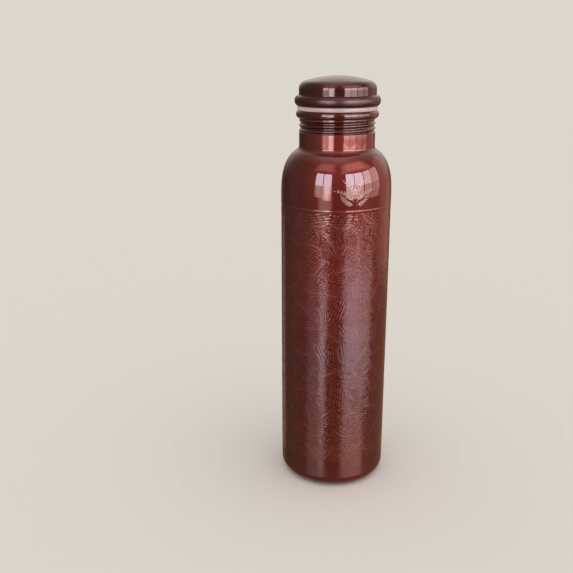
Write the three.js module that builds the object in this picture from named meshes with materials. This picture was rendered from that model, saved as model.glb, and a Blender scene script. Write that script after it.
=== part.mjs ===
// A lacquered copper water bottle with a screw cap.
//
// Millimetres, +Z up. The origin is the middle of the foot, on the surface that the bottle stands
// on, and every piece is turned about the Z axis. The vessel is three pressed and spun shells that
// lap over each other: a base cup, an embossed tube and a spun top with a rolled neck thread. The
// cap is a drawn shell, a threaded plug with a closing disc, and a silicone seal round the plug.

import * as THREE from 'three';
import { mergeVertices } from 'three/addons/utils/BufferGeometryUtils.js';

// General
const FACETS = 32; // flats round the axis
const SHEET = 0.5; // thickness of the copper sheet
const GAP = 0.3; // clearance between pieces that touch
const WELD = 1e-4; // distance within which the two ends of a turned surface are one point

// Straight steps that stand for a curve of a section
const BEND_STEPS = 3; // tight bends
const CORNER_STEPS = 6; // the base's corner and the cap's
const MOUTH_BEAD_STEPS = 8;
const CAP_BEAD_STEPS = 10;
const SHOULDER_STEPS = 8;
const NECK_FILLET_STEPS = 4;
const DOME_STEPS = 4;

// Vessel wall and its two laps
const TUBE_RADIUS = 37;
const BAND_RADIUS = 37.1; // the spun top stands a little proud of the tube
const LOWER_LAP_Z = 14; // lower edge of the tube, over the base cup
const UPPER_LAP_Z = 198.4; // lower edge of the spun top, over the tube
const LAP_LENGTH = 7;
const JOGGLE_RISE = 0.6; // height over which a wall steps in under its neighbour
const JOGGLE_DROP = 0.2; // from the lap's edge down to the top of that step

// Base
const BASE_CORNER = 8;
const FOOT_INNER_RADIUS = 24;
const RECESS_RADIUS = 21;
const RECESS_RISE = 2;

// Shoulder: a superellipse that falls away from the wall towards the neck
const SHOULDER_Z = 203;
const SHOULDER_WIDTH = 25;
const SHOULDER_HEIGHT = 33.4;
const SHOULDER_POWER = 2.77;
const SHOULDER_END = 59.5; // degrees along the superellipse where the neck's fillet begins

// Neck and mouth
const NECK_RADIUS = 25.05;
const NECK_CORNER_Z = 234.2; // where the shoulder's line and the neck's line would meet
const NECK_START_Z = 236;
const MOUTH_BEAD_RADIUS = 27.1;
const MOUTH_BEAD_BOTTOM_Z = 254.2;
const MOUTH_TOP_Z = 259.1;

// Rolled thread, right-handed, shared by the neck and the plug
const THREAD_PITCH = 3.26;
const THREAD_DEPTH = 1;
const THREAD_LEAD_IN = 1.2; // height over which a groove fades out
const THREAD_ROWS_PER_PITCH = 6;
const NECK_THREAD_Z = [244.8, 254];
const THREAD_CLEARANCE = 0.45; // radial gap between the neck's wall and the plug's

// Seal
const SEAL_OUTER_RADIUS = 26.2;
const SEAL_TOP_Z = 261.5;
const SEAL_ROUNDING = 0.35;

// Cap
const CAP_TOP_Z = 280.8;
const CAP_RADIUS = 25.3;
const CAP_CORNER = 5.2;
const CAP_CORNER_Z = 272.5; // where the straight side ends and the rounded edge begins
const CAP_BEAD_RADIUS = 28.1;
const CAP_BEAD_Z = [261.8, 268.5];
const CAP_BEAD_START_RADIUS = 25.65; // where the bead's half-round begins, on its centreline
const CAP_FILLET = 0.6;
const CAP_LIP_RADIUS = 24.75; // inner edge of the lip folded under the plug's flange

// Plug
const PLUG_BOTTOM_Z = 243.5;
const PLUG_THREAD_TOP_Z = 256.4;
const PLUG_BEND = 0.6;
const PLUG_FLANGE_RADIUS = 26.2;
const DISC_BOTTOM_Z = 243.75;
const DISC_RIM_HEIGHT = 3;
const DISC_BEND = 0.7;
const DISC_RADIUS = 22.15;

// Finishes
const LACQUER = { color: 0x5a2317, metalness: 0.9, roughness: 0.3 };
const DARK_LACQUER = { color: 0x4a1d15, metalness: 0.9, roughness: 0.35 };
const BARE_COPPER = { color: 0xb86b45, metalness: 1, roughness: 0.35 };
const SILICONE = { color: 0xe9dfe2, metalness: 0, roughness: 0.5 };

const HALF_SHEET = SHEET / 2;

// A point of a section: distance from the axis, and height.
function at(radius, z) {
  return new THREE.Vector2(radius, z);
}

// Points along an elliptical arc of a section, from one angle to another, in degrees.
function arc(centre, radii, from, to, steps) {
  const points = [];
  for (let i = 0; i <= steps; i += 1) {
    const angle = THREE.MathUtils.degToRad(from + ((to - from) * i) / steps);
    points.push(at(centre.x + radii.x * Math.cos(angle), centre.y + radii.y * Math.sin(angle)));
  }
  return points;
}

function round(radius) {
  return at(radius, radius);
}

// The unit normal on the right-hand side of the line from one point to the next.
function rightNormal(start, end) {
  const along = end.clone().sub(start).normalize();
  return at(along.y, -along.x);
}

// Moves each point of a centreline sideways, keeping the distance true at its corners.
function offset(centreline, distance) {
  return centreline.map((point, i) => {
    const before = centreline[Math.max(i - 1, 0)];
    const after = centreline[Math.min(i + 1, centreline.length - 1)];
    const arriving = before === point ? rightNormal(point, after) : rightNormal(before, point);
    const leaving = after === point ? arriving : rightNormal(point, after);
    const mitre = arriving.clone().add(leaving).normalize();
    const moved = point.clone().addScaledVector(mitre, distance / mitre.dot(arriving));
    if (point.x === 0) {
      moved.x = 0;
    }
    return moved;
  });
}

// The closed section of a sheet that follows a centreline. A centreline may start or end on the
// axis, and then the section does both.
function sheetSection(centreline) {
  const right = offset(centreline, HALF_SHEET);
  const left = offset(centreline, -HALF_SHEET).reverse();
  if (centreline[centreline.length - 1].x === 0) {
    return [...left, ...right];
  }
  if (centreline[0].x === 0) {
    return [...right, ...left];
  }
  return [...right, ...left, right[0]];
}

// Turns a section about the Z axis into one closed surface.
function turned(section) {
  const lathe = new THREE.LatheGeometry(section, FACETS);
  lathe.rotateX(Math.PI / 2);
  lathe.deleteAttribute('normal');
  lathe.deleteAttribute('uv');
  return mergeVertices(lathe, WELD);
}

// How much of the thread's full depth is left at a height, between the thread's two ends.
function threadStrength(z, bottom, top) {
  const fadeIn = THREE.MathUtils.smoothstep(z, bottom, bottom + THREAD_LEAD_IN);
  const fadeOut = 1 - THREE.MathUtils.smoothstep(z, top - THREAD_LEAD_IN, top);
  return fadeIn * fadeOut;
}

// Rolls the helical groove into a turned sheet: every point moves straight in towards the axis.
function rollThread(geometry, bottom, top) {
  const position = geometry.getAttribute('position');
  for (let i = 0; i < position.count; i += 1) {
    const x = position.getX(i);
    const y = position.getY(i);
    const z = position.getZ(i);
    const radius = Math.hypot(x, y);
    const turns = z / THREAD_PITCH - Math.atan2(y, x) / (2 * Math.PI);
    const groove = 0.5 - 0.5 * Math.cos(2 * Math.PI * turns);
    const pressed = THREAD_DEPTH * groove * threadStrength(z, bottom, top);
    const scale = pressed > 0 ? (radius - pressed) / radius : 1;
    position.setXY(i, x * scale, y * scale);
  }
  return geometry;
}

// Heights of the rows of points through a threaded stretch.
function threadRows(bottom, top) {
  const count = Math.ceil(((top - bottom) * THREAD_ROWS_PER_PITCH) / THREAD_PITCH);
  return Array.from({ length: count + 1 }, (_, i) => bottom + ((top - bottom) * i) / count);
}

function mesh(name, geometry, finish) {
  geometry.computeVertexNormals();
  const piece = new THREE.Mesh(geometry, new THREE.MeshStandardMaterial(finish));
  piece.name = name;
  return piece;
}

// Base cup: recessed floor, flat foot ring, rounded corner, and a rim that steps in under the tube.
function baseCup() {
  const wall = TUBE_RADIUS - HALF_SHEET;
  const rim = TUBE_RADIUS - SHEET - GAP - HALF_SHEET;
  const cornerCentre = at(TUBE_RADIUS - BASE_CORNER, BASE_CORNER);
  const stepTop = LOWER_LAP_Z - JOGGLE_DROP;
  return sheetSection([
    at(0, RECESS_RISE + HALF_SHEET),
    at(RECESS_RADIUS, RECESS_RISE + HALF_SHEET),
    at(FOOT_INNER_RADIUS, HALF_SHEET),
    ...arc(cornerCentre, round(BASE_CORNER - HALF_SHEET), -90, 0, CORNER_STEPS),
    at(wall, stepTop - JOGGLE_RISE),
    at(rim, stepTop),
    at(rim, LOWER_LAP_Z + LAP_LENGTH),
  ]);
}

// Tube: the straight embossed wall, with its top stepped in under the spun top's skirt.
function bodyTube() {
  const wall = TUBE_RADIUS - HALF_SHEET;
  const rim = BAND_RADIUS - SHEET - GAP - HALF_SHEET;
  const stepTop = UPPER_LAP_Z - JOGGLE_DROP;
  return sheetSection([
    at(wall, LOWER_LAP_Z),
    at(wall, stepTop - JOGGLE_RISE),
    at(rim, stepTop),
    at(rim, UPPER_LAP_Z + LAP_LENGTH),
  ]);
}

// Points of the shoulder's superellipse, on the sheet's outer surface.
function shoulderOutline() {
  const exponent = 2 / SHOULDER_POWER;
  const points = [];
  for (let i = 0; i <= SHOULDER_STEPS; i += 1) {
    const angle = THREE.MathUtils.degToRad((SHOULDER_END * i) / SHOULDER_STEPS);
    const inward = SHOULDER_WIDTH * (1 - Math.cos(angle) ** exponent);
    const rise = SHOULDER_HEIGHT * Math.sin(angle) ** exponent;
    points.push(at(BAND_RADIUS - inward, SHOULDER_Z + rise));
  }
  return points;
}

// Spun top: skirt, shoulder, neck with its rolled thread, and the lip curled out into a bead.
function shoulderNeck() {
  const shoulder = offset(shoulderOutline(), -HALF_SHEET);
  const neck = NECK_RADIUS - HALF_SHEET;
  const shoulderEnd = shoulder[shoulder.length - 1];
  const fillet = new THREE.QuadraticBezierCurve(shoulderEnd, at(neck, NECK_CORNER_Z), at(neck, NECK_START_Z));
  const beadTop = MOUTH_TOP_Z - HALF_SHEET;
  const beadBottom = MOUTH_BEAD_BOTTOM_Z + HALF_SHEET;
  const beadStart = NECK_RADIUS + GAP;
  const beadCentre = at(beadStart, (beadTop + beadBottom) / 2);
  const beadRadii = at(MOUTH_BEAD_RADIUS - HALF_SHEET - beadStart, (beadTop - beadBottom) / 2);
  const lipTurn = beadStart - neck;
  return sheetSection([
    at(BAND_RADIUS - HALF_SHEET, UPPER_LAP_Z),
    ...shoulder,
    ...fillet.getPoints(NECK_FILLET_STEPS).slice(1),
    ...threadRows(...NECK_THREAD_Z).map((z) => at(neck, z)),
    ...arc(at(beadStart, beadTop - lipTurn), round(lipTurn), 180, 90, BEND_STEPS),
    ...arc(beadCentre, beadRadii, 90, -90, MOUTH_BEAD_STEPS).slice(1),
  ]);
}

// Seal: a moulded ring with eased edges, round the plug and under the cap's bead.
function sealRing() {
  const inner = NECK_RADIUS - SHEET - THREAD_CLEARANCE + GAP;
  const bottom = MOUTH_TOP_Z + GAP;
  return [
    at(inner, bottom),
    at(SEAL_OUTER_RADIUS - SEAL_ROUNDING, bottom),
    at(SEAL_OUTER_RADIUS, bottom + SEAL_ROUNDING),
    at(SEAL_OUTER_RADIUS, SEAL_TOP_Z - SEAL_ROUNDING),
    at(SEAL_OUTER_RADIUS - SEAL_ROUNDING, SEAL_TOP_Z),
    at(inner, SEAL_TOP_Z),
    at(inner, bottom),
  ];
}

// Cap shell: the lip under the plug's flange, the bead, the side, the rounded edge and the dome.
// The dome is part of a sphere that meets the rounded edge without a break.
function capShell() {
  const [beadBottom, beadTop] = CAP_BEAD_Z;
  const side = CAP_RADIUS - HALF_SHEET;
  const low = beadBottom + HALF_SHEET;
  const high = beadTop - HALF_SHEET;
  const beadCentre = at(CAP_BEAD_START_RADIUS, (low + high) / 2);
  const beadRadii = at(CAP_BEAD_RADIUS - HALF_SHEET - CAP_BEAD_START_RADIUS, (high - low) / 2);
  const filletCentre = at(side + CAP_FILLET, high + CAP_FILLET);
  const cornerCentre = at(CAP_RADIUS - CAP_CORNER, CAP_CORNER_Z);
  const rise = CAP_TOP_Z - CAP_CORNER_Z;
  const spread = cornerCentre.x ** 2 + rise ** 2 - CAP_CORNER ** 2;
  const domeRadius = spread / (2 * (rise - CAP_CORNER));
  const domeCentre = at(0, CAP_TOP_Z - domeRadius);
  const slope = Math.atan2(cornerCentre.y - domeCentre.y, cornerCentre.x);
  const join = THREE.MathUtils.radToDeg(slope);
  const dome = arc(domeCentre, round(domeRadius - HALF_SHEET), join, 90, DOME_STEPS).slice(1, -1);
  return sheetSection([
    at(CAP_LIP_RADIUS, low),
    ...arc(beadCentre, beadRadii, -90, 90, CAP_BEAD_STEPS),
    ...arc(filletCentre, round(CAP_FILLET), 270, 180, BEND_STEPS).slice(1),
    ...arc(cornerCentre, round(CAP_CORNER - HALF_SHEET), 0, join, CORNER_STEPS),
    ...dome,
    at(0, CAP_TOP_Z - HALF_SHEET),
  ]);
}

// Plug: the threaded sleeve, and the flange at its top that the cap's lip folds under.
function capPlug() {
  const sleeve = NECK_RADIUS - SHEET - THREAD_CLEARANCE - HALF_SHEET;
  const flangeZ = CAP_BEAD_Z[0] + SHEET + GAP + HALF_SHEET;
  return sheetSection([
    at(PLUG_FLANGE_RADIUS, flangeZ),
    ...arc(at(sleeve + PLUG_BEND, flangeZ - PLUG_BEND), round(PLUG_BEND), 90, 180, BEND_STEPS),
    ...threadRows(PLUG_BOTTOM_Z, PLUG_THREAD_TOP_Z).reverse().map((z) => at(sleeve, z)),
  ]);
}

// Disc: a shallow pressed dish that closes the bottom of the plug, its rim turned up inside.
function plugDisc() {
  const rim = DISC_RADIUS - HALF_SHEET;
  const floor = DISC_BOTTOM_Z + HALF_SHEET;
  return sheetSection([
    at(0, floor),
    ...arc(at(rim - DISC_BEND, floor + DISC_BEND), round(DISC_BEND), -90, 0, BEND_STEPS),
    at(rim, DISC_BOTTOM_Z + DISC_RIM_HEIGHT),
  ]);
}

const neckGeometry = rollThread(turned(shoulderNeck()), ...NECK_THREAD_Z);

// The plug's grooves run out at full depth through its lower end.
const plugGeometry = rollThread(turned(capPlug()), PLUG_BOTTOM_Z - THREAD_LEAD_IN, PLUG_THREAD_TOP_Z);

const vessel = new THREE.Group();
vessel.add(mesh('base_cup', turned(baseCup()), LACQUER));
vessel.add(mesh('body_tube', turned(bodyTube()), LACQUER));
vessel.add(mesh('shoulder_neck', neckGeometry, LACQUER));

const cap = new THREE.Group();
cap.add(mesh('cap_shell', turned(capShell()), DARK_LACQUER));
cap.add(mesh('cap_plug', plugGeometry, BARE_COPPER));
cap.add(mesh('plug_disc', turned(plugDisc()), BARE_COPPER));

const bottle = new THREE.Group();
bottle.add(vessel);
bottle.add(cap);
bottle.add(mesh('seal_ring', turned(sealRing()), SILICONE));

export default bottle;
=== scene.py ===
"""Looks of a lacquered copper water bottle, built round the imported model. Metres, +Z up.

Every piece but the print is a surface turned about the bottle's axis. Its section is drawn in
(radius, height), a sheet's as a centreline that is then given its thickness. The thread and the
embossing are pressed into the turned mesh afterwards.
"""

import math

import bpy
import numpy as np
from mathutils import Matrix, Vector


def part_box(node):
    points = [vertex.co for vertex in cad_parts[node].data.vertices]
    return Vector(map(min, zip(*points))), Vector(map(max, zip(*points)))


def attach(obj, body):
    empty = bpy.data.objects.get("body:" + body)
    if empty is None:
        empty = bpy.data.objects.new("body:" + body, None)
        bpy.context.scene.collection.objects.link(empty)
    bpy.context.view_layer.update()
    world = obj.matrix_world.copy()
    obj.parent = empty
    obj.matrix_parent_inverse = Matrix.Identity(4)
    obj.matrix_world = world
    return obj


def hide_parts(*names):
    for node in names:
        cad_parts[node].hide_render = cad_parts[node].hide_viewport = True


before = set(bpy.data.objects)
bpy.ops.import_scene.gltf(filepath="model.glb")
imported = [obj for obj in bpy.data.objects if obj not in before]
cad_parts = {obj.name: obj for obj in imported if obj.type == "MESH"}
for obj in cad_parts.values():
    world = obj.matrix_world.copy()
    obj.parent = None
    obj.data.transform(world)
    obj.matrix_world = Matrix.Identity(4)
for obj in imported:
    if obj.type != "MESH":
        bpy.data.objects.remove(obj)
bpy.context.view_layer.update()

MM = 0.001

# ---------------------------------------------------------------- sizes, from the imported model

SHEET = 0.5 * MM  # thickness of all the sheet metal
SLIT = 0.03 * MM  # what is left open between sheets that touch

tube_low, tube_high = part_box("body_tube")
_, cup_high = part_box("base_cup")
top_low, top_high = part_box("shoulder_neck")
cap_low, cap_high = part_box("cap_shell")
plug_low, plug_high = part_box("cap_plug")
disc_low, disc_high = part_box("plug_disc")
_, ring_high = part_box("seal_ring")

BAND_RADIUS = top_high.x
TUBE_RADIUS = tube_high.x
WALL_RADIUS = TUBE_RADIUS - 0.05 * MM  # the ground that the embossing stands on
LOWER_LAP_Z = tube_low.z
UPPER_LAP_Z = top_low.z
BAND_BEAD = 0.07 * MM  # how far the rolled lower rim of the spun top stands out
BAND_WALL = BAND_RADIUS - BAND_BEAD
LAP_EDGE = 0.04 * MM  # rounding of the sheets' edges at the laps
RIM_HEIGHT = 1.0 * MM  # over which the rolled rim runs out into the wall
RIM_CREST = 0.25  # share of that height where it stands out most
RIM_START = 0.6  # how far its lower edge stands out, as a share of its crest

BASE_CORNER = 8 * MM  # radius
FOOT_INNER_RADIUS = 24 * MM
RECESS_RADIUS = 21 * MM  # of the flat middle of the underside
RECESS_RISE = 2 * MM

SHOULDER_Z = 203 * MM  # where the wall begins to curve in
SHOULDER_WIDTH = 25 * MM
SHOULDER_HEIGHT = 33.4 * MM
SHOULDER_POWER = 2.77
SHOULDER_END = 59.5  # degrees along the superellipse where the neck's fillet begins

NECK_RADIUS = 25.05 * MM
NECK_CORNER_Z = 234.2 * MM  # where the fillet's two tangents meet
NECK_START_Z = 236 * MM
MOUTH_BEAD_RADIUS = 27.1 * MM
MOUTH_BEAD_BOTTOM_Z = 254.2 * MM
MOUTH_TOP_Z = top_high.z

THREAD_PITCH = 3.26 * MM
THREAD_DEPTH = 1.0 * MM
THREAD_LEAD_IN = 1.2 * MM
NECK_THREAD = (244.8 * MM, 254 * MM)  # bottom and top
NECK_THREAD_STEPS = 89
PLUG_THREAD_TOP_Z = 256.4 * MM
PLUG_THREAD_STEPS = 109
THREAD_CLEARANCE = 0.45 * MM  # between the plug and the neck

CAP_TOP_Z = cap_high.z
CAP_RADIUS = 25.3 * MM
CAP_CORNER = 5.2 * MM  # radius
CAP_CORNER_Z = 272.5 * MM
CAP_BEAD_RADIUS = cap_high.x
CAP_BEAD_LOW_Z = cap_low.z
CAP_BEAD_HIGH_Z = 268.5 * MM
CAP_BEAD_START = 25.65 * MM  # radius where the bead's half round begins
CAP_FILLET = 0.6 * MM
CAP_LIP_RADIUS = 24.75 * MM  # inner edge of the bead's underside
PLUG_BEND = 0.6 * MM
DISC_BEND = 0.7 * MM

SEAL_PLAY = 0.3 * MM  # between the seal and the plug
SEAL_GAP = 0.02 * MM  # between the seal and the rims above and below it
SEAL_BULGE = 0.35 * MM
SEAL_SPACING = 0.5 * MM  # between the points of its section

# Points round the axis on a plain piece, a threaded one and the embossed tube
ROUND = 192
THREADED_ROUND = 256
EMBOSSED_ROUND = 800


# ---------------------------------------------------------------- camera, light and floor

FOCAL_LENGTH = 47.13  # millimetres, on the default 36 mm sensor
CAMERA_PLACE = (-33.6 * MM, -502.5 * MM, 295.3 * MM)
CAMERA_PITCH = 17.37  # degrees below the horizon
CAMERA_ROLL = -0.16  # degrees


def make_camera():
    data = bpy.data.cameras.new("camera")
    data.lens = FOCAL_LENGTH
    data.clip_start = 0.01
    camera = bpy.data.objects.new("camera", data)
    tilt = Matrix.Rotation(math.radians(90 - CAMERA_PITCH), 4, "X")
    roll = Matrix.Rotation(math.radians(CAMERA_ROLL), 4, "Z")
    camera.matrix_world = Matrix.Translation(CAMERA_PLACE) @ tilt @ roll
    bpy.context.scene.collection.objects.link(camera)
    bpy.context.scene.camera = camera


def add_light(name, data, place, aim):
    light = bpy.data.objects.new(name, data)
    light.location = place
    light.rotation_mode = "QUATERNION"
    light.rotation_quaternion = (Vector(aim) - Vector(place)).to_track_quat("-Z", "Y")
    light.visible_camera = False
    bpy.context.scene.collection.objects.link(light)
    return light


PANEL_DISTANCE = 1.1


def panel(name, azimuths, heights, radiance, colour, distance=PANEL_DISTANCE, casts_shadow=True):
    """An upright soft light that shows in gloss only. Azimuth 0 is in front and 90 on the right."""
    middle = math.radians(sum(azimuths) / 2)
    level = sum(heights) / 2
    place = (distance * math.sin(middle), -distance * math.cos(middle), level)
    data = bpy.data.lights.new(name, "AREA")
    data.shape = "RECTANGLE"
    data.size = 2 * distance * math.tan(math.radians(azimuths[1] - azimuths[0]) / 2)
    data.size_y = heights[1] - heights[0]
    data.energy = radiance * math.pi * data.size * data.size_y
    data.color = colour
    data.use_shadow = casts_shadow
    light = add_light(name, data, place, (0, 0, level))
    light.visible_diffuse = False


WHITE, LILAC, PEARL = (1.0, 0.985, 0.96), (0.92, 0.84, 1.0), (1.0, 0.88, 0.9)
SHELL, ROSE = (1.0, 0.8, 0.78), (1.0, 0.7, 0.64)
PEACH, RUST = (1.0, 0.62, 0.52), (1.0, 0.38, 0.3)

# Windows over a rust-red board: azimuths in degrees, and the radiance and colour of each level,
# from the sky in the upper panes down to the board
WINDOWS = (
    ((-46.5, -30.8), (12, 2, 3.5), (LILAC, SHELL, RUST)),
    ((-29.2, -13), (12.5, 4, 5), (LILAC, SHELL, RUST)),
    ((16.5, 33.6), (14, 8.5, 8), (LILAC, SHELL, RUST)),
    ((34.8, 54), (12.5, 6.5, 6.5), (LILAC, SHELL, RUST)),
    ((56, 74), (8, 4.5, 4), (PEARL, ROSE, RUST)),
    ((75.2, 95), (5, 3, 2.5), (ROSE, ROSE, RUST)),
)
LEVEL_EDGES = (0.76, 0.29, 0.125, 0.107)  # heights, from the windows' head downwards

# Soft patches of light: on the upper walls, on the wall behind on the right, in and below the
# windows' lower panes, on a varnished table that is lower than the floor, and in a pale strip
# behind on the left. Azimuths, heights, radiance, colour.
SOFT_PATCHES = (
    ((-57, -6), (0.9, 2.1), 1.7, RUST),
    ((-48, -14), (1.0, 1.8), 1.8, RUST),
    ((8, 84), (0.9, 2.1), 2.4, RUST),
    ((19, 70), (1.0, 1.8), 2.6, RUST),
    ((97, 138), (-0.17, 1.0), 0.8, RUST),
    ((-46, -32), (0.107, 0.29), 3.2, ROSE),
    ((-28.5, -15), (0.107, 0.29), 10, ROSE),
    ((-46, -14), (0.05, 0.107), 5.0, PEACH),
    ((-28.5, -16), (0.02, 0.107), 9.0, PEACH),
    ((-38, -13), (-0.03, 0.05), 3.0, PEACH),
    ((16.5, 54), (0.035, 0.107), 7.5, ROSE),
    ((58, 92), (0.035, 0.107), 2.8, PEACH),
    ((-34, -21), (-0.17, -0.08), 1.4, RUST),
    ((16.5, 50), (-0.125, -0.075), 2.8, RUST),
    ((-34, -21), (-0.42, -0.18), 4.2, LILAC),
    ((-34, -21), (-0.8, -0.42), 2.0, ROSE),
    ((-60, -34), (-0.42, -0.16), 0.6, LILAC),
    ((-60, -34), (-0.8, -0.42), 0.8, ROSE),
    ((16.5, 52), (-0.42, -0.13), 3.4, LILAC),
    ((52, 78), (-0.42, -0.13), 2.2, PEARL),
    ((16.5, 66), (-0.8, -0.42), 1.6, ROSE),
    ((-146, -141), (-0.6, -0.05), 0.6, WHITE),
)
# Each patch is three panels, one behind another, so that its sides are soft: how much wider each
# is on either side, in degrees
PATCH_STEPS = (-3, 0, 3)
PATCH_GAP = 0.005

SKY_PLACE = (0.3, -0.5, 2)
SKY_STRENGTH = 0.52
SKY_SPREAD = 60  # degrees


def make_lights():
    for number, (azimuths, radiances, colours) in enumerate(WINDOWS):
        for level, heights in enumerate(zip(LEVEL_EDGES[1:], LEVEL_EDGES)):
            panel(f"pane_{number}_{level}", azimuths, heights, radiances[level], colours[level])
    for number, (azimuths, heights, radiance, colour) in enumerate(SOFT_PATCHES):
        share = radiance / len(PATCH_STEPS)
        for step, wider in enumerate(PATCH_STEPS):
            spread = azimuths[0] - wider, azimuths[1] + wider
            distance = PANEL_DISTANCE + PATCH_GAP * (step + 1)
            panel(f"patch_{number}_{step}", spread, heights, share, colour, distance, False)
    sky = bpy.data.lights.new("overhead", "SUN")
    sky.energy = SKY_STRENGTH
    sky.angle = math.radians(SKY_SPREAD)
    sky.color = WHITE
    light = add_light("overhead", sky, SKY_PLACE, (0, 0, 0))
    light.visible_glossy = False


BACKDROP = (0.72, 0.68, 0.615, 1)  # what the floor's far edge looks like
AIR = (0.72, 0.702, 0.677, 1)  # the even light on matt surfaces

# The room that gloss sees: radiance by the sine of the elevation, in front, at the sides and behind
CEILING = (2.5, 1.5, 1.35)
TABLE = (0.3, 0.17, 0.08)
FRONT_ROOM = (
    (-1.0, (0.5, 0.25, 0.18)),
    (-0.62, (0.4, 0.2, 0.13)),
    (-0.42, (0.27, 0.15, 0.07)),
    (-0.24, (0.13, 0.065, 0.045)),
    (-0.07, (0.07, 0.04, 0.035)),
    (0.26, (0.12, 0.075, 0.06)),
    (0.64, (0.36, 0.18, 0.14)),
    (0.82, (0.9, 0.4, 0.34)),
    (1.0, CEILING),
)
SIDE_ROOM = (
    (-1.0, TABLE),
    (-0.3, (0.44, 0.26, 0.21)),
    (0.0, (0.5, 0.28, 0.22)),
    (0.7, (0.62, 0.36, 0.3)),
    (1.0, CEILING),
)
BACK_ROOM = (
    (-1.0, TABLE),
    (-0.34, (0.3, 0.16, 0.09)),
    (-0.05, (0.24, 0.15, 0.11)),
    (0.09, (0.6, 0.52, 0.47)),
    (0.26, (1.05, 0.93, 0.88)),
    (0.7, (1.4, 1.16, 1.06)),
    (1.0, CEILING),
)
# How far sideways and backwards a ray points where the sides and the back begin and are full
SIDE_EDGES = (0.45, 0.9)
BACK_EDGES = (0.1, 0.9)
# Brightness of the back on the left and on the right, and how far to the right a ray points where
# each is reached
BACK_SHADE = (0.25, 1.15)
BACK_SHADE_EDGES = (-0.85, 0)


def room_ramp(tree, rise, room):
    """The room's colour at a height from 0, straight down, to 1, straight up."""
    return ramp(tree, rise, [((sine + 1) / 2, colour) for sine, colour in room])


def make_world():
    """Even and pale to the eye and on matt surfaces. Gloss sees a darker room over a brown table,
    lighter overhead and behind the bottle, most of all behind its right side."""
    world = bpy.data.worlds.new("studio")
    bpy.context.scene.world = world
    world.use_nodes = True
    tree = world.node_tree
    place = add_node(tree, "ShaderNodeTexCoord")
    split = add_node(tree, "ShaderNodeSeparateXYZ")
    tree.links.new(place.outputs["Generated"], split.inputs[0])
    rise = to_range(tree, split.outputs["Z"], 0, 1, source=(-1, 1))
    sideways = add_node(tree, "ShaderNodeMath", operation="ABSOLUTE")
    tree.links.new(split.outputs["X"], sideways.inputs[0])
    beside = to_range(tree, sideways.outputs[0], 0, 1, source=SIDE_EDGES)
    behind = to_range(tree, split.outputs["Y"], 0, 1, source=BACK_EDGES)
    front, side, back = (room_ramp(tree, rise, room) for room in (FRONT_ROOM, SIDE_ROOM, BACK_ROOM))
    shade = to_range(tree, split.outputs["X"], *BACK_SHADE, source=BACK_SHADE_EDGES)
    shaded_back = mix_colour(tree, 1.0, back, shade, "MULTIPLY")
    room = mix_colour(tree, behind, mix_colour(tree, beside, front, side), shaded_back)
    ray = add_node(tree, "ShaderNodeLightPath")
    matt = mix_colour(tree, ray.outputs["Is Camera Ray"], AIR, BACKDROP)
    seen = mix_colour(tree, ray.outputs["Is Glossy Ray"], matt, room)
    tree.links.new(seen, tree.nodes["Background"].inputs["Color"])


FLOOR_RADIUS = 30.0


def make_floor():
    bpy.ops.mesh.primitive_circle_add(vertices=96, radius=FLOOR_RADIUS, fill_type="NGON")
    floor = bpy.context.object
    floor.name = "floor"
    floor.data.materials.append(floor_material())
    floor.visible_glossy = False


# ---------------------------------------------------------------- materials


def new_material(name):
    material = bpy.data.materials.new(name)
    material.use_nodes = True
    tree = material.node_tree
    return material, tree, tree.nodes["Principled BSDF"]


def add_node(tree, kind, inputs=None, **settings):
    node = tree.nodes.new(kind)
    for key, value in settings.items():
        setattr(node, key, value)
    for key, value in (inputs or {}).items():
        node.inputs[key].default_value = value
    return node


def object_noise(tree, scale, detail, stretch=(1, 1, 1)):
    """Noise in the object's own space. Scale is in features per metre."""
    place = add_node(tree, "ShaderNodeTexCoord")
    mapping = add_node(tree, "ShaderNodeMapping", {"Scale": stretch})
    noise = add_node(tree, "ShaderNodeTexNoise", {"Scale": scale, "Detail": detail})
    tree.links.new(place.outputs["Object"], mapping.inputs["Vector"])
    tree.links.new(mapping.outputs["Vector"], noise.inputs["Vector"])
    return noise.outputs["Fac"]


def ramp(tree, value, stops):
    """A colour between stops, each of which is a value and its colour."""
    node = add_node(tree, "ShaderNodeValToRGB")
    elements = node.color_ramp.elements
    for element, (place, colour) in zip(elements, (stops[0], stops[-1])):
        element.position = place
        element.color = (*colour, 1)
    for place, colour in stops[1:-1]:
        elements.new(place).color = (*colour, 1)
    tree.links.new(value, node.inputs["Fac"])
    return node.outputs["Color"]


def mix_colour(tree, share, first, second, blend="MIX"):
    """Share and both colours may be a socket or a plain value."""
    node = add_node(tree, "ShaderNodeMix", data_type="RGBA", blend_type=blend)
    for socket, value in zip((node.inputs[0], node.inputs[6], node.inputs[7]), (share, first, second)):
        if isinstance(value, bpy.types.NodeSocket):
            tree.links.new(value, socket)
        else:
            socket.default_value = value
    return node.outputs[2]


def to_range(tree, value, low, high, source=(0, 1)):
    """Stretches a value from the source range to low and high, and holds it there beyond."""
    limits = {"From Min": source[0], "From Max": source[1], "To Min": low, "To Max": high}
    node = add_node(tree, "ShaderNodeMapRange", limits)
    tree.links.new(value, node.inputs["Value"])
    return node.outputs["Result"]


def bump(tree, height, depth, normal=None):
    """Depth is in metres, and normal is the result of another bump under this one."""
    node = add_node(tree, "ShaderNodeBump", {"Distance": depth})
    tree.links.new(height, node.inputs["Height"])
    if normal is not None:
        tree.links.new(normal, node.inputs["Normal"])
    return node.outputs["Normal"]


def attribute(tree, name):
    return add_node(tree, "ShaderNodeAttribute", attribute_name=name).outputs["Fac"]


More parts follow.
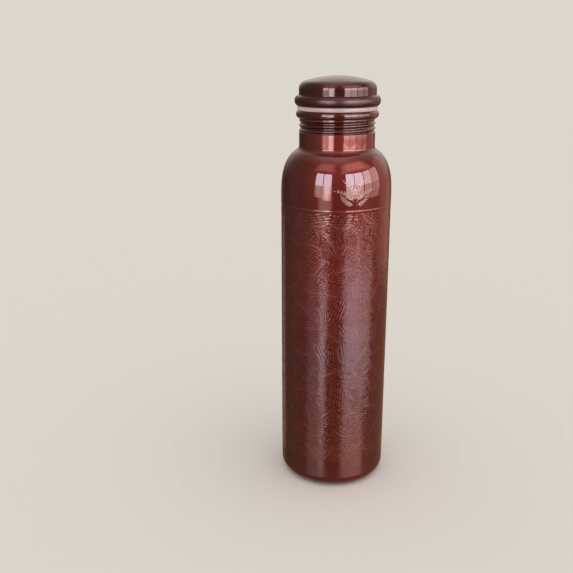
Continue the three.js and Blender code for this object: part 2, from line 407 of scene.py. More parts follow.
# The lacquer's dark, middle and bright tints, and its tint where it is rubbed
VESSEL_TINTS = (
    (0.045, 0.007, 0.0045),
    (0.06, 0.009, 0.006),
    (0.082, 0.013, 0.009),
    (0.15, 0.05, 0.036),
)
CAP_TINTS = (
    (0.013, 0.004, 0.0035),
    (0.018, 0.005, 0.0042),
    (0.025, 0.006, 0.005),
    (0.07, 0.02, 0.015),
)
PAINTED_SHADE_TINT = (0.006, 0.0015, 0.001, 1)  # painted shade in the thread's grooves and on and under the mouth's bead
SHEEN_TINT = (0.45, 0.24, 0.18, 1)


def lacquer_material(name, tints, coat_roughness, coat=1.0):
    """Tinted lacquer over copper: a broad dark sheen under a clear coat, which is sharp where its
    roughness is low. Raised lines and rims are rubbed a little lighter, and shade is painted dark
    into the thread's grooves and on and under the mouth's bead."""
    dark, middle, bright, rubbed = tints
    material, tree, shader = new_material(name)
    cloud = object_noise(tree, scale=14, detail=3)
    colour = ramp(tree, cloud, [(0.3, dark), (0.52, middle), (0.72, bright)])
    raised = attribute(tree, "raised")
    # Painted shade: where the raised attribute is below 0, in the thread's grooves and on and under
    # the mouth's bead, the colour goes towards a near-black tint
    painted_shade = mix_colour(tree, to_range(tree, raised, 0, 1, source=(-1, 0)), PAINTED_SHADE_TINT, colour)
    grain = object_noise(tree, scale=900, detail=4)
    wear = add_node(tree, "ShaderNodeMath", operation="MULTIPLY")
    tree.links.new(to_range(tree, raised, 0, 1), wear.inputs[0])
    tree.links.new(to_range(tree, grain, 0.1, 0.9), wear.inputs[1])
    worn = mix_colour(tree, wear.outputs[0], painted_shade, (*rubbed, 1))
    tree.links.new(worn, shader.inputs["Base Color"])
    tree.links.new(to_range(tree, grain, 0.42, 0.58), shader.inputs["Roughness"])
    spin = object_noise(tree, scale=50, detail=2, stretch=(1, 1, 30))
    fine = bump(tree, spin, depth=0.006 * MM)
    tree.links.new(bump(tree, grain, depth=0.012 * MM, normal=fine), shader.inputs["Normal"])
    peel = object_noise(tree, scale=260, detail=2)
    brushed = object_noise(tree, scale=90, detail=2, stretch=(1, 1, 14))
    marks = bump(tree, brushed, depth=0.0012 * MM)
    tree.links.new(bump(tree, peel, depth=0.0025 * MM, normal=marks), shader.inputs["Coat Normal"])
    shader.inputs["Metallic"].default_value = 0.8
    shader.inputs["Coat Weight"].default_value = coat
    shader.inputs["Coat Roughness"].default_value = coat_roughness
    shader.inputs["Coat IOR"].default_value = 1.5
    shader.inputs["Specular IOR Level"].default_value = 0.1
    shader.inputs["Specular Tint"].default_value = SHEEN_TINT
    return material


def copper_material(name):
    """Bare copper, spun in fine rings, with a little tarnish."""
    material, tree, shader = new_material(name)
    cloud = object_noise(tree, scale=40, detail=4)
    fresh, tarnished, brown = (0.74, 0.38, 0.24), (0.58, 0.27, 0.16), (0.36, 0.15, 0.09)
    colour = ramp(tree, cloud, [(0.35, fresh), (0.6, tarnished), (0.8, brown)])
    tree.links.new(colour, shader.inputs["Base Color"])
    rings = object_noise(tree, scale=30, detail=3, stretch=(1, 1, 90))
    tree.links.new(to_range(tree, rings, 0.3, 0.5), shader.inputs["Roughness"])
    tree.links.new(bump(tree, rings, depth=0.02 * MM), shader.inputs["Normal"])
    shader.inputs["Metallic"].default_value = 1.0
    return material


def silicone_material(name):
    """Pale, milky and a little translucent."""
    material, tree, shader = new_material(name)
    cloud = object_noise(tree, scale=120, detail=3)
    pale, milky = (0.66, 0.47, 0.475), (0.76, 0.56, 0.565)
    tree.links.new(ramp(tree, cloud, [(0.35, pale), (0.65, milky)]), shader.inputs["Base Color"])
    grain = object_noise(tree, scale=2500, detail=2)
    tree.links.new(to_range(tree, grain, 0.38, 0.5), shader.inputs["Roughness"])
    tree.links.new(bump(tree, grain, depth=0.01 * MM), shader.inputs["Normal"])
    shader.inputs["Subsurface Weight"].default_value = 0.35
    shader.inputs["Subsurface Radius"].default_value = (0.003, 0.0018, 0.0016)
    shader.inputs["Subsurface Scale"].default_value = 1.0
    return material


def ink_material(name):
    """A thin pale print that the lacquer shows through in specks."""
    material, tree, shader = new_material(name)
    speckle = object_noise(tree, scale=1800, detail=3)
    thin, full = (0.13, 0.08, 0.066), (0.29, 0.21, 0.18)
    tree.links.new(ramp(tree, speckle, [(0.35, thin), (0.6, full)]), shader.inputs["Base Color"])
    tree.links.new(to_range(tree, speckle, 0.35, 0.55), shader.inputs["Roughness"])
    shader.inputs["Metallic"].default_value = 0.5
    return material


def floor_material():
    material, tree, shader = new_material("pale_floor")
    shader.inputs["Base Color"].default_value = (0.82, 0.79, 0.74, 1)
    shader.inputs["Roughness"].default_value = 0.9
    shader.inputs["Specular IOR Level"].default_value = 0.0
    return material


# ---------------------------------------------------------------- sections


def arc(centre, radii, start, end, steps):
    """Points of an elliptical arc in the (radius, height) plane, angles in degrees."""
    angles = np.radians(np.linspace(start, end, steps + 1))
    radius = centre[0] + radii[0] * np.cos(angles)
    height = centre[1] + radii[1] * np.sin(angles)
    return np.column_stack((radius, height))


def bezier(start, middle, end, steps):
    """Points of a quadratic curve, which leaves its start towards the middle point."""
    share = np.linspace(0, 1, steps + 1)[:, None]
    start, middle, end = np.array(start), np.array(middle), np.array(end)
    return start * (1 - share) ** 2 + middle * 2 * share * (1 - share) + end * share ** 2


def upright(radius, start, end, steps):
    """Points of an upright stretch between two heights, close enough for a thread."""
    return np.column_stack((np.full(steps + 1, radius), np.linspace(start, end, steps + 1)))


SAME_POINT = 0.0001 * MM  # points that are closer count as one


def path(*parts):
    """Joins points and arcs into one line, without doubled points."""
    points = np.vstack([np.atleast_2d(part) for part in parts]).astype(float)
    keep = np.r_[True, np.linalg.norm(np.diff(points, axis=0), axis=1) > SAME_POINT]
    return points[keep]


HOLD = 0.15 * MM  # where the shading of a long straight stretch is held, next to its ends
LONG_STRETCH = 10 * HOLD
COUNT_SLACK = 1e-6  # so that a stretch of a whole number of spacings isn't split once more


def resample(points, spacing):
    """Splits every stretch longer than spacing, so that shading stays even."""
    out = [points[:1]]
    for start, end in zip(points[:-1], points[1:]):
        length = np.linalg.norm(end - start)
        count = max(1, math.ceil(length / spacing - COUNT_SLACK))
        share = np.arange(1, count + 1) / count
        if length > LONG_STRETCH:
            share = np.union1d(share, (HOLD / length, 1 - HOLD / length))
        out.append(start + (end - start) * share[:, None])
    return np.vstack(out)


def offset(points, distance):
    """Moves a line to its right-hand side, keeping the distance true at its corners."""
    along = np.diff(points, axis=0)
    along /= np.linalg.norm(along, axis=1)[:, None]
    normal = np.column_stack((along[:, 1], -along[:, 0]))
    arriving = np.vstack((normal[:1], normal))
    leaving = np.vstack((normal, normal[-1:]))
    mitre = arriving + leaving
    mitre /= np.linalg.norm(mitre, axis=1)[:, None]
    moved = points + mitre * (distance / np.sum(mitre * arriving, axis=1))[:, None]
    moved[points[:, 0] == 0, 0] = 0
    return moved


SPACING = 1.0 * MM  # between the points of a plain sheet's section
EDGE_ROUNDING = SHEET * 0.45
EDGE_STEPS = 3

# Finish of a sheet's right-hand side, of its left-hand side, and of beads and threads that have a
# finish of their own. It numbers the face's material.
FACE, BACK, TRIM = 0, 1, 2


def sheet_end(last, before, rounding):
    """The edge of a sheet at the end of its centreline, from its right side to its left."""
    along = (last - before) / np.linalg.norm(last - before)
    right = np.array((along[1], -along[0]))
    turn = np.radians(np.linspace(0, 90, EDGE_STEPS + 1))[:, None]
    corner = rounding * (right * np.cos(turn) + along * np.sin(turn))
    flat = SHEET / 2 - rounding
    on_right = last + right * flat + corner
    on_left = last - right * flat + (corner - 2 * right * (corner @ right)[:, None])[::-1]
    return np.vstack((on_right[1:], on_left[:-1]))


def sheet_section(line, spacing=SPACING, rounding=EDGE_ROUNDING):
    """The outline of a sheet that follows a centreline, and the finish of each of its points.

    The line may start or end on the axis. The outline then does too, and isn't closed. Its ends
    are finished beyond the line's own ends by the rounding."""
    right = offset(resample(line, spacing), SHEET / 2)
    left = offset(resample(line, max(spacing, SPACING)), -SHEET / 2)[::-1]
    end_cap = sheet_end(line[-1], line[-2], rounding)
    start_cap = sheet_end(line[0], line[1], rounding)
    if line[-1, 0] == 0:
        parts = [left, start_cap, right]
        finishes = [BACK, FACE, FACE]
    elif line[0, 0] == 0:
        parts = [right, end_cap, left]
        finishes = [FACE, FACE, BACK]
    else:
        parts = [right, end_cap, left, start_cap]
        finishes = [FACE, FACE, BACK, FACE]
    finish = np.concatenate([np.full(len(part), number) for part, number in zip(parts, finishes)])
    return np.vstack(parts), finish


# ---------------------------------------------------------------- turned meshes

SHARP_ANGLE = 50  # degrees between faces, from which an edge isn't smoothed


def add_mesh(name, points, faces, materials):
    """A new object in the scene, with one slot for each material."""
    mesh = bpy.data.meshes.new(name)
    mesh.from_pydata(points, [], faces)
    for material in materials:
        mesh.materials.append(material)
    piece = bpy.data.objects.new(name, mesh)
    bpy.context.scene.collection.objects.link(piece)
    return piece


def ring_quads(here, above, count):
    """Faces round the axis between rows of points, from each row in here to its match in above."""
    column = np.arange(count)
    beside = (column + 1) % count
    corners = (
        here[:, None] * count + column,
        here[:, None] * count + beside,
        above[:, None] * count + beside,
        above[:, None] * count + column,
    )
    return np.stack(corners, axis=-1).reshape(-1, 4).tolist()


def pole_triangles(last_row, count):
    """Faces that close the first and the last row onto two poles, which are the last points."""
    low_pole = last_row + count
    low = [(low_pole, (i + 1) % count, i) for i in range(count)]
    high = [(last_row + i, last_row + (i + 1) % count, low_pole + 1) for i in range(count)]
    return low + high


def turned(name, section, finish, materials, count=ROUND, shape=None):
    """Turns a section about the axis. Each face takes the material numbered by its points' finish,
    the higher number where they differ. shape(radius, height, angle) may return new radii and, for
    the materials, how far each point stands above the ground, which the lacquer shows as wear, or
    below 0 how much shade is painted on it."""
    closed = section[0, 0] > 0
    ring, ring_finish = (section, finish) if closed else (section[1:-1], finish[1:-1])
    angle = np.arange(count) * 2 * math.pi / count
    radius = np.repeat(ring[:, :1], count, axis=1)
    height = np.repeat(ring[:, 1:], count, axis=1)
    wear_and_shade = np.zeros_like(radius)
    if shape is not None:
        radius, wear_and_shade = shape(radius, height, np.broadcast_to(angle, radius.shape))
    points = np.stack((radius * np.cos(angle), radius * np.sin(angle), height), axis=-1).reshape(-1, 3)
    wear_and_shade = wear_and_shade.ravel()
    rows = len(ring)
    here = np.arange(rows if closed else rows - 1)
    above = (here + 1) % rows
    faces = ring_quads(here, above, count)
    slots = np.repeat(np.maximum(ring_finish[here], ring_finish[above]), count)
    if not closed:
        faces += pole_triangles((rows - 1) * count, count)
        slots = np.append(slots, np.repeat(finish[[0, -1]], count))
        points = np.vstack((points, (0, 0, section[0, 1]), (0, 0, section[-1, 1])))
        wear_and_shade = np.append(wear_and_shade, (0, 0))
    piece = add_mesh(name, points.tolist(), faces, materials)
    piece.data.polygons.foreach_set("material_index", slots.tolist())
    piece.data.shade_smooth()
    piece.data.set_sharp_from_angle(angle=math.radians(SHARP_ANGLE))
    # The raised attribute holds wear above 0 and painted shade below 0
    raised = piece.data.attributes.new("raised", "FLOAT", "POINT")
    raised.data.foreach_set("value", wear_and_shade.astype(np.float32))
    piece.data.validate()
    return piece


def smoothstep(value, low, high):
    """Rises smoothly from 0 at low to 1 at high."""
    share = np.clip((value - low) / (high - low), 0, 1)
    return share * share * (3 - 2 * share)


CAP_WEAR = 0.15
CAP_WEAR_DEPTH = 0.3 * MM
THREAD_REACH = 2 * MM  # from the neck's surface, on either side
# Painted shade: how much of it lies on the thread's crests, where it is 1 in the thread's groove,
# and on the mouth's bead and its underside
CREST_SHADE = 0.3
MOUTH_BEAD_SHADE = 0.6


def cap_shape(radius, height, angle):
    """The cap keeps its shape. Its bead is rubbed, but only along its widest line."""
    return radius, CAP_WEAR * smoothstep(radius, CAP_BEAD_RADIUS - CAP_WEAR_DEPTH, CAP_BEAD_RADIUS)


def thread_shape(bottom, top):
    """The rolled helical groove, right-handed, between two heights. Shade is painted into it and
    on and under the mouth's bead, and the lacquer is rubbed along the spun top's lower rim."""

    def press(radius, height, angle):
        turns = height / THREAD_PITCH - angle / (2 * math.pi)
        groove = 0.5 - 0.5 * np.cos(2 * math.pi * turns)
        fade_in = smoothstep(height, bottom, bottom + THREAD_LEAD_IN)
        fade_out = 1 - smoothstep(height, top - THREAD_LEAD_IN, top)
        threaded = fade_in * fade_out * (np.abs(radius - NECK_RADIUS) < THREAD_REACH)
        curled = (height > MOUTH_BEAD_BOTTOM_Z) & (radius > NECK_RADIUS + SHEET)
        # Painted shade in the groove and on and under the mouth's bead, handed to the materials below
        # 0
        painted_shade = (CREST_SHADE + (1 - CREST_SHADE) * groove) * threaded + MOUTH_BEAD_SHADE * curled
        rubbed = smoothstep(radius, BAND_WALL, BAND_RADIUS) * (height < SHOULDER_Z)
        return radius - THREAD_DEPTH * groove * threaded, rubbed - painted_shade

    return press


# ---------------------------------------------------------------- embossing
#
# Curved leaves with slanting veins, in a field of broken lines that echo their outlines. Lengths
# on the unrolled wall are in millimetres.

EMBOSS_LOW_Z = 20.5 * MM
EMBOSS_HIGH_Z = 197.2 * MM
RELIEF = 0.065 * MM
LOWER_FADE = 1.5 * MM
UPPER_FADE = 0.8 * MM
WALL_SLACK = 0.01 * MM  # how far inside the wall's radius a point still counts as on the wall
ROWS_PER_MM = 3.4

LEAVES_ROUND = 15
LEAF_ROWS = 12
LEAF_SEED = 11
LEAF_STRAY = 0.16  # how far a leaf may stand from its place, in spacings
COLUMN_TURN, ROW_TURN, LOOSE_TURN = 2.4, 1.3, 0.5  # radians from leaf to leaf, and at random
LEAF_HALF_LENGTH = 7.2
LEAF_HALF_WIDTH = 2.9
LEAF_BEND = 0.045
MIDRIB_FLANK = (0.2, 0.75)  # half width of the midrib's crest and of its foot
VEIN_SLANT = 0.9
VEIN_MARGIN = (0.3, 0.9)  # depth inside the outline where the veins begin and are full
STROKE_SPACING = 1.6
STROKE_SHARPNESS = 4
DASH_EDGES = (-0.85, -0.45)  # heights of a cosine between which a dash ends
REACH = 16  # how far from its middle a leaf's echo lines are drawn

WAVE = 0.02 * MM  # unevenness of the ground
WAVE_LIMITS = (-1.5, 0.5)  # of its usual height
WAVE_SEED = 5
WAVE_COUNT = 28
WAVES_ROUND = 40  # the most that one wave has round the tube
WAVE_PITCH = (5, 14)


def ridge(phase):
    """A line wherever phase is a whole number."""
    return (0.5 + 0.5 * np.cos(2 * math.pi * phase)) ** STROKE_SHARPNESS


def leaf_distance(along, across):
    """Distance to a pointed leaf's outline, negative inside it."""
    width, length = LEAF_HALF_WIDTH, LEAF_HALF_LENGTH
    centre = (length ** 2 - width ** 2) / (2 * width)
    radius = (length ** 2 + width ** 2) / (2 * width)
    a, b = np.abs(along), np.abs(across)
    past_tip = (a - length) * centre > b * length
    return np.where(past_tip, np.hypot(b, a - length), np.hypot(b + centre, a) - radius)


def leaf_height(along, across, distance):
    """Midrib, veins and outline inside the leaf, and dashes that follow its outline outside."""
    veins = ridge((along - VEIN_SLANT * np.abs(across)) / STROKE_SPACING)
    midrib = 1 - smoothstep(np.abs(across), *MIDRIB_FLANK)
    inside = np.maximum(veins * smoothstep(-distance, *VEIN_MARGIN), midrib)
    turn_round = np.arctan2(across, along) / (2 * math.pi)
    ring = np.floor(distance / STROKE_SPACING + 0.5)
    dash_count, dash_shift = 5 + 2 * ring, 0.37 * ring
    dashes = smoothstep(np.cos(2 * math.pi * (dash_count * turn_round + dash_shift)), *DASH_EDGES)
    echo = ridge(distance / STROKE_SPACING) * np.where(ring > 0, dashes, 1)
    return np.where(distance < -0.5 * STROKE_SPACING, inside, echo)


def leaf_places(girth, tall):
    """Middle, angle and hand of every leaf: a half-drop repeat, loosened a little."""
    chance = np.random.default_rng(LEAF_SEED)
    for row in range(-1, LEAF_ROWS + 1):
        for column in range(LEAVES_ROUND):
            place = column + 0.5 * (row % 2) + chance.uniform(-LEAF_STRAY, LEAF_STRAY)
            x = place * girth / LEAVES_ROUND
            y = (row + 0.5 + chance.uniform(-LEAF_STRAY, LEAF_STRAY)) * tall / LEAF_ROWS
            angle = COLUMN_TURN * column + ROW_TURN * row + chance.uniform(-LOOSE_TURN, LOOSE_TURN)
            yield x, y, angle, 1 if (row + column) % 2 else -1


def relief_map(columns, heights):
    """How high the embossing stands, from 0 to 1, at each height and angle of the tube's wall. The
    nearest leaf draws each point."""
    girth = 2 * math.pi * TUBE_RADIUS / MM
    tall = (EMBOSS_HIGH_Z - EMBOSS_LOW_Z) / MM
    ground = (np.asarray(heights) - EMBOSS_LOW_Z) / MM
    step = girth / columns
    nearest = np.full((len(ground), columns), np.inf)
    raised = np.zeros_like(nearest)
    for x, y, angle, hand in leaf_places(girth, tall):
        rows = slice(*np.searchsorted(ground, (y - REACH, y + REACH)))
        cells = np.arange(math.floor((x - REACH) / step), math.ceil((x + REACH) / step) + 1)
        right = cells[None, :] * step - x
        up = ground[rows, None] - y
        along = right * math.cos(angle) + up * math.sin(angle)
        across = hand * (up * math.cos(angle) - right * math.sin(angle)) - LEAF_BEND * along ** 2
        across += LEAF_BEND * LEAF_HALF_LENGTH ** 2 / 2
        distance = leaf_distance(along, across)
        window = np.ix_(np.arange(len(ground))[rows], cells % columns)
        closer = distance < nearest[window]
        raised[window] = np.where(closer, leaf_height(along, across, distance), raised[window])
        nearest[window] = np.where(closer, distance, nearest[window])
    return raised


def ground_wave(angle, height):
    """The gentle unevenness that the rolling leaves in the ground, from about -1 to 1."""
    chance = np.random.default_rng(WAVE_SEED)
    total = np.zeros_like(angle)
    for _ in range(WAVE_COUNT):
        round_count = chance.integers(-WAVES_ROUND, WAVES_ROUND + 1)
        pitch = chance.uniform(*WAVE_PITCH) * MM
        total += np.sin(round_count * angle + 2 * math.pi * (height / pitch + chance.uniform()))
    return total / math.sqrt(WAVE_COUNT)


def emboss(radius, height, angle):
    """Raises the leaves and their echo lines on the tube's outer face."""
    heights = height[:, 0]
    outside = radius[:, 0] > WALL_RADIUS - WALL_SLACK
    rows = np.flatnonzero(outside & (heights > EMBOSS_LOW_Z) & (heights < EMBOSS_HIGH_Z))
    order = rows[np.argsort(heights[rows])]
    raised = np.zeros_like(radius)
    raised[order] = relief_map(radius.shape[1], heights[order])
    border = smoothstep(heights, EMBOSS_LOW_Z, EMBOSS_LOW_Z + LOWER_FADE)
    border *= 1 - smoothstep(heights, EMBOSS_HIGH_Z - UPPER_FADE, EMBOSS_HIGH_Z)
    raised *= border[:, None]
    wave = np.where(raised.any(axis=1)[:, None], ground_wave(angle, height), 0) * border[:, None]
    return radius + RELIEF * raised + WAVE * np.clip(wave, *WAVE_LIMITS), raised


# ---------------------------------------------------------------- pieces


def add_piece(piece, body, node):
    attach(piece, body)
    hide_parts(node)


def base_cup_line():
    wall = WALL_RADIUS - SHEET / 2
    rim = TUBE_RADIUS - 1.5 * SHEET - SLIT
    step = LOWER_LAP_Z - SLIT - SHEET / 2
    corner = (WALL_RADIUS - BASE_CORNER, BASE_CORNER)
    radius = BASE_CORNER - SHEET / 2
    recess = RECESS_RISE + SHEET / 2
    return path(
        (0, recess),
        (RECESS_RADIUS, recess),
        (FOOT_INNER_RADIUS, SHEET / 2),
        arc(corner, (radius, radius), -90, 0, steps=24),
        (wall, step),
        (rim, step),
        (rim, cup_high.z - SHEET / 2),
    )


def make_base_cup(lacquer, copper):
    cup = turned("base_cup_shell", *sheet_section(base_cup_line()), (lacquer, copper))
    add_piece(cup, "bottle", "base_cup")


def body_tube_line():
    wall = WALL_RADIUS - SHEET / 2
    rim = BAND_RADIUS - 1.5 * SHEET - SLIT
    step = UPPER_LAP_Z - SLIT - SHEET / 2
    return path(
        (wall, LOWER_LAP_Z + LAP_EDGE),
        (wall, step),
        (rim, step),
        (rim, tube_high.z - LAP_EDGE),
    )


def make_embossed_tube(lacquer, copper):
    section, finish = sheet_section(body_tube_line(), 1 / ROWS_PER_MM * MM, LAP_EDGE)
    tube = turned("embossed_tube", section, finish, (lacquer, copper), EMBOSSED_ROUND, emboss)
    add_piece(tube, "bottle", "body_tube")


def rolled_rim():
    """The spun top's lower rim: a flat bead, and then the wall, on the outer surface."""
    share = np.linspace(0, 1, 9)
    height = UPPER_LAP_Z + LAP_EDGE + share * RIM_HEIGHT
    below = RIM_START + (1 - RIM_START) * smoothstep(share, 0, RIM_CREST)
    above = 1 - smoothstep(share, RIM_CREST, 1)
    standing = np.where(share < RIM_CREST, below, above)
    return np.column_stack((BAND_WALL + BAND_BEAD * standing, height))


def shoulder_outline(steps):
    """The shoulder's superellipse on the sheet's outer surface."""
    angle = np.radians(np.linspace(0, SHOULDER_END, steps + 1))
    exponent = 2 / SHOULDER_POWER
    inward = SHOULDER_WIDTH * (1 - np.cos(angle) ** exponent)
    rise = SHOULDER_HEIGHT * np.sin(angle) ** exponent
    return np.column_stack((BAND_WALL - inward, SHOULDER_Z + rise))


def shoulder_neck_line():
    neck = NECK_RADIUS - SHEET / 2
    shoulder = offset(path(rolled_rim(), shoulder_outline(steps=48)), -SHEET / 2)
    bead_top = MOUTH_TOP_Z - SHEET / 2
    bead_bottom = MOUTH_BEAD_BOTTOM_Z + SHEET / 2
    bead_start = NECK_RADIUS + SHEET / 2 + SLIT
    bead_centre = (bead_start, (bead_top + bead_bottom) / 2)
    bead_radii = (MOUTH_BEAD_RADIUS - SHEET / 2 - bead_start, (bead_top - bead_bottom) / 2)
    lip_turn = bead_start - neck
    return path(
        shoulder,
        bezier(shoulder[-1], (neck, NECK_CORNER_Z), (neck, NECK_START_Z), steps=12),
        upright(neck, *NECK_THREAD, NECK_THREAD_STEPS),
        arc((bead_start, bead_top - lip_turn), (lip_turn, lip_turn), 180, 90, steps=8),
        arc(bead_centre, bead_radii, 90, -90, steps=28),
    )


def make_spun_top(lacquer, copper, trim_lacquer):
    section, finish = sheet_section(shoulder_neck_line(), rounding=LAP_EDGE)
    radius, height = section.T
    finish[(height > MOUTH_BEAD_BOTTOM_Z - SHEET) & (radius > NECK_RADIUS - SHEET)] = TRIM
    finish[(height > NECK_THREAD[0]) & (finish == FACE)] = TRIM
    materials, thread = (lacquer, copper, trim_lacquer), thread_shape(*NECK_THREAD)
    top = turned("spun_top", section, finish, materials, THREADED_ROUND, thread)
    add_piece(top, "bottle", "shoulder_neck")


def cap_shell_line():
    side = CAP_RADIUS - SHEET / 2
    low, high = CAP_BEAD_LOW_Z + SHEET / 2, CAP_BEAD_HIGH_Z - SHEET / 2
    bead_centre = (CAP_BEAD_START, (low + high) / 2)
    bead_radii = (CAP_BEAD_RADIUS - SHEET / 2 - CAP_BEAD_START, (high - low) / 2)
    fillet = (side + CAP_FILLET, high + CAP_FILLET)
    corner = (CAP_RADIUS - CAP_CORNER, CAP_CORNER_Z)
    rise = CAP_TOP_Z - CAP_CORNER_Z
    dome_radius = (corner[0] ** 2 + rise ** 2 - CAP_CORNER ** 2) / (2 * (rise - CAP_CORNER))
    dome_centre = (0, CAP_TOP_Z - dome_radius)
    join = math.degrees(math.atan2(corner[1] - dome_centre[1], corner[0]))
    corner_radius, sheet_radius = CAP_CORNER - SHEET / 2, dome_radius - SHEET / 2
    dome = arc(dome_centre, (sheet_radius, sheet_radius), join, 90, steps=24)
    dome[-1, 0] = 0
    return path(
        (CAP_LIP_RADIUS + SHEET / 2, low),
        arc(bead_centre, bead_radii, -90, 90, steps=32),
        arc(fillet, (CAP_FILLET, CAP_FILLET), 270, 180, steps=8),
        arc(corner, (corner_radius, corner_radius), 0, join, steps=16),
        dome,
    )


def make_cap_dome(lacquer, copper, trim_lacquer):
    section, finish = sheet_section(cap_shell_line())
    finish[(section[:, 1] < CAP_BEAD_HIGH_Z - SHEET) & (finish == FACE)] = TRIM
    materials = (lacquer, copper, trim_lacquer)
    shell = turned("cap_dome", section, finish, materials, shape=cap_shape)
    add_piece(shell, "cap", "cap_shell")


def cap_plug_line():
    sleeve = NECK_RADIUS - 1.5 * SHEET - THREAD_CLEARANCE
    flange = plug_high.z - SHEET / 2
    bend_centre = (sleeve + PLUG_BEND, flange - PLUG_BEND)
    return path(
        (plug_high.x - SHEET / 2, flange),
        arc(bend_centre, (PLUG_BEND, PLUG_BEND), 90, 180, steps=8),
        upright(sleeve, PLUG_THREAD_TOP_Z, plug_low.z + SHEET / 2, PLUG_THREAD_STEPS),
    )


def make_threaded_plug(copper):
    section, finish = sheet_section(cap_plug_line())
    thread = thread_shape(plug_low.z - THREAD_LEAD_IN, PLUG_THREAD_TOP_Z)
    plug = turned("threaded_plug", section, finish, (copper, copper), THREADED_ROUND, thread)
    add_piece(plug, "cap", "cap_plug")


def plug_disc_line():
    rim = disc_high.x - SHEET / 2
    floor = disc_low.z + SHEET / 2
    bend_centre = (rim - DISC_BEND, floor + DISC_BEND)
    return path(
        (0, floor),
        arc(bend_centre, (DISC_BEND, DISC_BEND), -90, 0, steps=8),
        (rim, disc_high.z - SHEET / 2),
    )


def make_plug_floor(copper):
    disc = turned("plug_floor", *sheet_section(plug_disc_line()), (copper, copper))
    add_piece(disc, "cap", "plug_disc")


def seal_section():
    """A soft ring squeezed between the mouth and the cap, so its outer face bulges a little."""
    inner = NECK_RADIUS - SHEET - THREAD_CLEARANCE + SEAL_PLAY
    bottom, top = MOUTH_TOP_Z + SEAL_GAP, CAP_BEAD_LOW_Z - SEAL_GAP
    middle = (bottom + top) / 2
    bulge_centre = (ring_high.x - SEAL_BULGE, middle)
    outside = arc(bulge_centre, (SEAL_BULGE, (top - bottom) / 2), -90, 90, steps=16)
    inside = np.array(((inner, top), (inner, middle), (inner, bottom)))
    section = resample(path(outside, inside, outside[:1]), SEAL_SPACING)[:-1]
    return section, np.full(len(section), FACE)


def make_silicone_seal(silicone):
    seal = turned("silicone_seal", *seal_section(), (silicone,))
    add_piece(seal, "seal", "seal_ring")


# ---------------------------------------------------------------- printed sprig
#
# Three leafy stems spread on each side of a drop. Their own plane is in millimetres, right and up
# from its middle; the shapes are thin closed solids laid on the shoulder.

PRINT_AZIMUTH = 15.5  # degrees round from the front
PRINT_Z = 210.8 * MM  # of its middle
PRINT_HEIGHT = 0.03 * MM  # how far it stands proud of the lacquer
PRINT_DEPTH = 0.02 * MM  # how far it reaches into the lacquer
STEMS = (
    ((0.9, -7.8), (6.2, -7.2), (8.8, -2.6)),
    ((0.9, -6.0), (4.6, 0.2), (12.6, 1.0)),
    ((0.8, -3.6), (1.6, 4.0), (6.8, 7.0)),
)  # start, pull and tip of each stem on the right
STEM_STEPS = 28
STEM_HALF_WIDTHS = (0.16, 0.08)  # at its root and its tip
LEAF_PAIRS = 7
LEAF_SIZE = (2.6, 0.32)  # length and half width
LEAF_SHRINK = 0.06  # from each pair to the next
LEAF_LEAN = 42  # degrees
LEAF_STEPS = 8
DROP_TOP, DROP_TALL, DROP_HALF_WIDTH = 4.4, 5.0, 1.15
DROP_STEPS = 14
TIP_HALF_WIDTH = 0.05


def on_shoulder(flat, lift):
    """Points of the print's own plane, in space, lifted off the shoulder's surface."""
    outline = path(rolled_rim(), shoulder_outline(steps=200))
    steps = np.linalg.norm(np.diff(outline, axis=0), axis=1)
    length = np.r_[0, np.cumsum(steps)]
    along = np.interp(PRINT_Z, outline[:, 1], length) + flat[:, 1] * MM
    radius, height = (np.interp(along, length, outline[:, k]) for k in (0, 1))
    slope = np.gradient(outline, length, axis=0)
    rise, inward = (np.interp(along, length, slope[:, k]) for k in (1, 0))
    angle = math.radians(PRINT_AZIMUTH - 90) + flat[:, 0] * MM / radius
    radius, height = radius + lift * rise, height - lift * inward
    return np.column_stack((radius * np.cos(angle), radius * np.sin(angle), height))


def strip_faces(rows, columns):
    """Faces of a thin solid with an upper and a lower sheet of rows by columns points."""
    low = rows * columns
    faces = []
    for i in range(rows - 1):
        for j in range(columns - 1):
            a, b = i * columns + j, (i + 1) * columns + j
            faces.append((a, b, b + 1, a + 1))
            faces.append((low + a, low + a + 1, low + b + 1, low + b))
    rim = list(range(columns))
    rim += [i * columns + columns - 1 for i in range(1, rows)]
    rim += [(rows - 1) * columns + j for j in range(columns - 2, -1, -1)]
    rim += [i * columns for i in range(rows - 2, 0, -1)]
    faces += [(a, b, low + b, low + a) for a, b in zip(rim, rim[1:] + rim[:1])]
    return faces


def blade(spine, half_width, across=2):
    """A thin closed solid on the shoulder: a strip along a spine, with a half width at each point."""
    ahead = np.gradient(spine, axis=0)
    ahead /= np.linalg.norm(ahead, axis=1)[:, None]
    side = np.column_stack((-ahead[:, 1], ahead[:, 0]))
    share = np.linspace(-1, 1, across + 1)
    flat = spine[:, None] + side[:, None] * half_width[:, None, None] * share[:, None]
    rows, columns = flat.shape[:2]
    flat = flat.reshape(-1, 2)
    points = np.vstack((on_shoulder(flat, PRINT_HEIGHT), on_shoulder(flat, -PRINT_DEPTH)))
    return points, strip_faces(rows, columns)


def leaf_blade(root, direction, length, half_width):
    """A pointed leaf that grows from its root along a direction in degrees."""
    share = np.linspace(0, 1, LEAF_STEPS + 1)
    turn = math.radians(direction)
    spine = np.array(root) + length * share[:, None] * (math.cos(turn), math.sin(turn))
    return blade(spine, TIP_HALF_WIDTH + half_width * np.sin(math.pi * share ** 0.8))


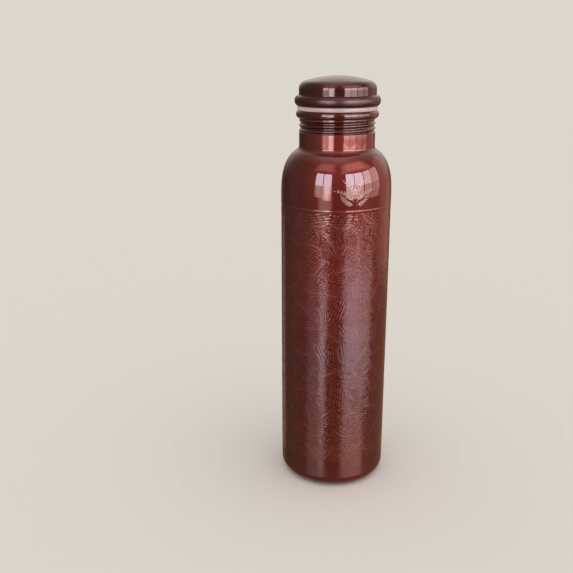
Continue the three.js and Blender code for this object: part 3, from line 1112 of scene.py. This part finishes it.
def stem_blades(stem):
    """A stem with pairs of leaves that lean away from it, and one leaf at its tip."""
    yield blade(stem, np.linspace(*STEM_HALF_WIDTHS, STEM_STEPS + 1))
    for pair in range(1, LEAF_PAIRS + 1):
        place = pair * STEM_STEPS // LEAF_PAIRS
        ahead = stem[place] - stem[place - 1]
        heading = math.degrees(math.atan2(ahead[1], ahead[0]))
        length, half_width = (size * (1 - LEAF_SHRINK * pair) for size in LEAF_SIZE)
        for lean in (0,) if pair == LEAF_PAIRS else (LEAF_LEAN, -LEAF_LEAN):
            yield leaf_blade(stem[place], heading + lean, length, half_width)


def drop_blade():
    """A drop, pointed above and round below."""
    share = np.linspace(0, 1, DROP_STEPS + 1)
    spine = np.column_stack((0 * share, DROP_TOP - DROP_TALL * share))
    swelling = share ** 1.2 * np.sqrt(1.0001 - share ** 6)
    return blade(spine, TIP_HALF_WIDTH + DROP_HALF_WIDTH * swelling, across=6)


def sprig_blades():
    """Every blade of the print: the stems on the right, the same on the left, and the drop."""
    for hand in (1, -1):
        for start, pull, tip in STEMS:
            yield from stem_blades(bezier(start, pull, tip, STEM_STEPS) * (hand, 1))
    yield drop_blade()


def make_printed_sprig(ink):
    points, faces = [], []
    for blade_points, blade_faces in sprig_blades():
        start = len(points)
        points += blade_points.tolist()
        faces += [tuple(start + corner for corner in face) for face in blade_faces]
    piece = add_mesh("printed_sprig", points, faces, (ink,))
    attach(piece, "bottle")


def build():
    lacquer = lacquer_material("vessel_lacquer", VESSEL_TINTS, coat_roughness=0.03)
    embossed_lacquer = lacquer_material("embossed_lacquer", VESSEL_TINTS, coat_roughness=0.11)
    foot_lacquer = lacquer_material("foot_lacquer", VESSEL_TINTS, coat_roughness=0.22)
    neck_lacquer = lacquer_material("neck_lacquer", VESSEL_TINTS, coat_roughness=0.08)
    cap_lacquer = lacquer_material("cap_lacquer", CAP_TINTS, coat_roughness=0.03, coat=0.85)
    bead_lacquer = lacquer_material("cap_bead_lacquer", CAP_TINTS, coat_roughness=0.33, coat=0.75)
    copper = copper_material("bare_copper")
    silicone = silicone_material("silicone")

    make_base_cup(foot_lacquer, copper)
    make_embossed_tube(embossed_lacquer, copper)
    make_spun_top(lacquer, copper, neck_lacquer)
    make_printed_sprig(ink_material("print_ink"))
    make_cap_dome(cap_lacquer, copper, bead_lacquer)
    make_threaded_plug(copper)
    make_plug_floor(copper)
    make_silicone_seal(silicone)


bpy.context.scene.view_settings.view_transform = "Standard"
make_camera()
make_lights()
make_world()
make_floor()
build()
